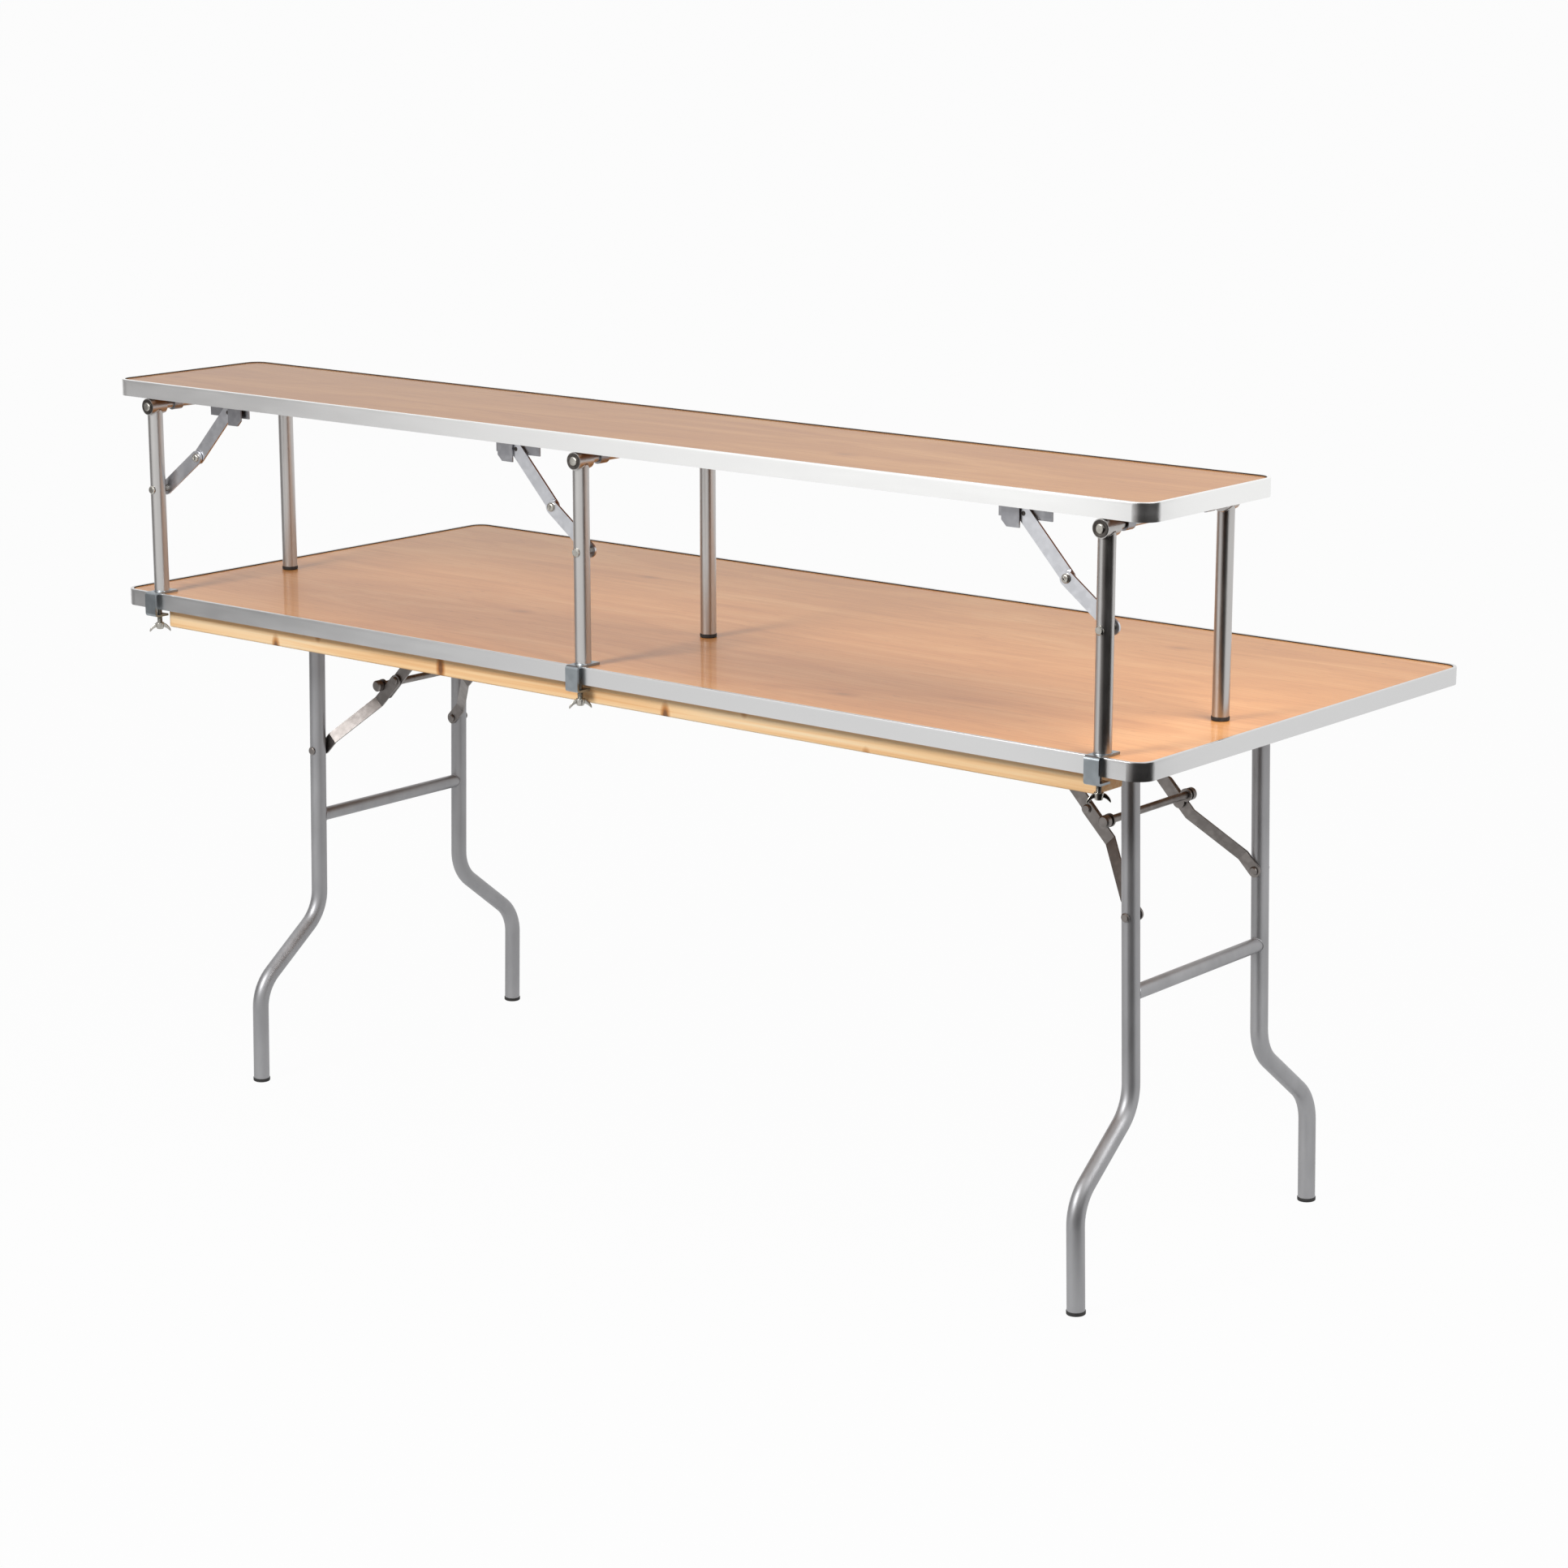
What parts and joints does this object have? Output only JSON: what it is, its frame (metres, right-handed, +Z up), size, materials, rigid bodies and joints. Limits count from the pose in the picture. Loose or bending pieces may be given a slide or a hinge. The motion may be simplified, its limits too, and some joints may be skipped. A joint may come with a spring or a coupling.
{
  "type": "portable bar",
  "caption": "Folding plywood table on bent tube legs with a narrow bar shelf clamped along its front edge, both on hinged leg sets with locking braces.",
  "frame": {"origin": "on the floor under the middle of the table top", "axes": "+X along the length of the bar, -Y towards the side with the clamps and the shelf, +Z up"},
  "size_m": [1.8288, 0.771, 1.0745],
  "materials": {
    "plywood": "clear gloss varnish",
    "runner_wood": "planed, unvarnished",
    "edge_aluminium": "satin extruded",
    "leg_paint": "grey powder coat, satin",
    "riser_steel": "bright plated tube",
    "brace_steel": "dull plated strip",
    "fastener_steel": "zinc plated",
    "foot_rubber": "matt"
  },
  "bodies": {
    "table": {"table_top_panel": "plywood", "table_edge_trim": "edge_aluminium", "front_runner": "runner_wood", "rear_runner": "runner_wood", "leg_pivot_brackets": "leg_paint", "brace_anchors": "brace_steel", "brace_anchor_pins": "fastener_steel", "table_screws": "fastener_steel"},
    "left_leg_set": {"left_front_leg": "leg_paint", "left_rear_leg": "leg_paint", "left_leg_pivot_tube": "leg_paint", "left_leg_crossbar": "leg_paint", "left_foot_glides": "foot_rubber"},
    "left_upper_link_set": {"left_upper_links": "brace_steel", "left_lock_bar": "brace_steel"},
    "left_lower_link_set": {"left_lower_links": "brace_steel", "left_brace_rivets": "fastener_steel"},
    "right_leg_set": {"right_front_leg": "leg_paint", "right_rear_leg": "leg_paint", "right_leg_pivot_tube": "leg_paint", "right_leg_crossbar": "leg_paint", "right_foot_glides": "foot_rubber"},
    "right_upper_link_set": {"right_upper_links": "brace_steel", "right_lock_bar": "brace_steel"},
    "right_lower_link_set": {"right_lower_links": "brace_steel", "right_brace_rivets": "fastener_steel"},
    "riser_shelf": {"riser_shelf_panel": "plywood", "riser_edge_trim": "edge_aluminium", "riser_pivot_saddles": "riser_steel", "riser_brace_brackets": "riser_steel", "riser_bracket_pins": "fastener_steel", "riser_screws": "fastener_steel"},
    "riser_left_legs": {"riser_left_front_leg": "riser_steel", "riser_left_rear_leg": "riser_steel", "riser_left_pivot_rod": "riser_steel", "riser_left_clamp": "riser_steel", "riser_left_rear_tip": "foot_rubber"},
    "riser_left_upper_brace": {"riser_left_upper_link": "brace_steel"},
    "riser_left_lower_brace": {"riser_left_lower_link": "brace_steel", "riser_left_brace_rivets": "fastener_steel"},
    "riser_left_wing": {"riser_left_wing_screw": "fastener_steel"},
    "riser_middle_legs": {"riser_middle_front_leg": "riser_steel", "riser_middle_rear_leg": "riser_steel", "riser_middle_pivot_rod": "riser_steel", "riser_middle_clamp": "riser_steel", "riser_middle_rear_tip": "foot_rubber"},
    "riser_middle_upper_brace": {"riser_middle_upper_link": "brace_steel"},
    "riser_middle_lower_brace": {"riser_middle_lower_link": "brace_steel", "riser_middle_brace_rivets": "fastener_steel"},
    "riser_middle_wing": {"riser_middle_wing_screw": "fastener_steel"},
    "riser_right_legs": {"riser_right_front_leg": "riser_steel", "riser_right_rear_leg": "riser_steel", "riser_right_pivot_rod": "riser_steel", "riser_right_clamp": "riser_steel", "riser_right_rear_tip": "foot_rubber"},
    "riser_right_upper_brace": {"riser_right_upper_link": "brace_steel"},
    "riser_right_lower_brace": {"riser_right_lower_link": "brace_steel", "riser_right_brace_rivets": "fastener_steel"},
    "riser_right_wing": {"riser_right_wing_screw": "fastener_steel"}
  },
  "joints": [
    {"name": "left_leg_fold", "type": "hinge", "parent": "table", "child": "left_leg_set", "pos_m": [-0.7417, 0, 0.718], "axis": [0, -1, 0], "range_deg": [0, 91.55]},
    {"name": "left_upper_link_turn", "type": "hinge", "parent": "table", "child": "left_upper_link_set", "pos_m": [-0.5354, 0, 0.718], "axis": [0, 1, 0], "range_deg": [0, 46.75]},
    {"name": "left_lower_link_turn", "type": "hinge", "parent": "left_leg_set", "child": "left_lower_link_set", "pos_m": [-0.7476, 0, 0.50008], "axis": [0, -1, 0], "range_deg": [0, 43.63]},
    {"name": "right_leg_fold", "type": "hinge", "parent": "table", "child": "right_leg_set", "pos_m": [0.7417, 0, 0.718], "axis": [0, 1, 0], "range_deg": [0, 91.55]},
    {"name": "right_upper_link_turn", "type": "hinge", "parent": "table", "child": "right_upper_link_set", "pos_m": [0.5354, 0, 0.718], "axis": [0, -1, 0], "range_deg": [0, 46.75]},
    {"name": "right_lower_link_turn", "type": "hinge", "parent": "right_leg_set", "child": "right_lower_link_set", "pos_m": [0.7476, 0, 0.50008], "axis": [0, 1, 0], "range_deg": [0, 43.63]},
    {"name": "riser_off", "type": "slide", "parent": "table", "child": "riser_shelf", "axis": [0, -1, 0], "range_m": [0, 0.75]},
    {"name": "riser_left_fold", "type": "hinge", "parent": "riser_shelf", "child": "riser_left_legs", "pos_m": [-0.8453, 0, 1.04], "axis": [0, -1, 0], "range_deg": [0, 90.5]},
    {"name": "riser_left_upper_turn", "type": "hinge", "parent": "riser_shelf", "child": "riser_left_upper_brace", "pos_m": [-0.7093, -0.3457, 1.04], "axis": [0, 1, 0], "range_deg": [0, 47.28]},
    {"name": "riser_left_lower_turn", "type": "hinge", "parent": "riser_left_legs", "child": "riser_left_lower_brace", "pos_m": [-0.8453, -0.366, 0.917], "axis": [0, -1, 0], "range_deg": [0, 53.74]},
    {"name": "riser_left_wing_travel", "type": "slide", "parent": "riser_left_legs", "child": "riser_left_wing", "axis": [0, 0, -1], "range_m": [0, 0.008]},
    {"name": "riser_middle_fold", "type": "hinge", "parent": "riser_shelf", "child": "riser_middle_legs", "pos_m": [0, 0, 1.04], "axis": [0, 1, 0], "range_deg": [0, 90.5]},
    {"name": "riser_middle_upper_turn", "type": "hinge", "parent": "riser_shelf", "child": "riser_middle_upper_brace", "pos_m": [-0.136, -0.3457, 1.04], "axis": [0, -1, 0], "range_deg": [0, 47.28]},
    {"name": "riser_middle_lower_turn", "type": "hinge", "parent": "riser_middle_legs", "child": "riser_middle_lower_brace", "pos_m": [0, -0.366, 0.917], "axis": [0, 1, 0], "range_deg": [0, 53.74]},
    {"name": "riser_middle_wing_travel", "type": "slide", "parent": "riser_middle_legs", "child": "riser_middle_wing", "axis": [0, 0, -1], "range_m": [0, 0.008]},
    {"name": "riser_right_fold", "type": "hinge", "parent": "riser_shelf", "child": "riser_right_legs", "pos_m": [0.8453, 0, 1.04], "axis": [0, 1, 0], "range_deg": [0, 90.5]},
    {"name": "riser_right_upper_turn", "type": "hinge", "parent": "riser_shelf", "child": "riser_right_upper_brace", "pos_m": [0.7093, -0.3457, 1.04], "axis": [0, -1, 0], "range_deg": [0, 47.28]},
    {"name": "riser_right_lower_turn", "type": "hinge", "parent": "riser_right_legs", "child": "riser_right_lower_brace", "pos_m": [0.8453, -0.366, 0.917], "axis": [0, 1, 0], "range_deg": [0, 53.74]},
    {"name": "riser_right_wing_travel", "type": "slide", "parent": "riser_right_legs", "child": "riser_right_wing", "axis": [0, 0, -1], "range_m": [0, 0.008]}
  ],
  "couplings": [
    {"joint": "left_upper_link_turn", "follows": "left_leg_fold", "ratio": 0.50514},
    {"joint": "left_lower_link_turn", "follows": "left_leg_fold", "ratio": 0.47116},
    {"joint": "right_upper_link_turn", "follows": "right_leg_fold", "ratio": 0.50514},
    {"joint": "right_lower_link_turn", "follows": "right_leg_fold", "ratio": 0.47116},
    {"joint": "riser_left_fold", "follows": "riser_off", "rad_per_m": 2.0944},
    {"joint": "riser_left_upper_turn", "follows": "riser_off", "rad_per_m": 1.0887},
    {"joint": "riser_left_lower_turn", "follows": "riser_off", "rad_per_m": 1.2389},
    {"joint": "riser_middle_fold", "follows": "riser_off", "rad_per_m": 2.0944},
    {"joint": "riser_middle_upper_turn", "follows": "riser_off", "rad_per_m": 1.0887},
    {"joint": "riser_middle_lower_turn", "follows": "riser_off", "rad_per_m": 1.2389},
    {"joint": "riser_right_fold", "follows": "riser_off", "rad_per_m": 2.0944},
    {"joint": "riser_right_upper_turn", "follows": "riser_off", "rad_per_m": 1.0887},
    {"joint": "riser_right_lower_turn", "follows": "riser_off", "rad_per_m": 1.2389}
  ]
}
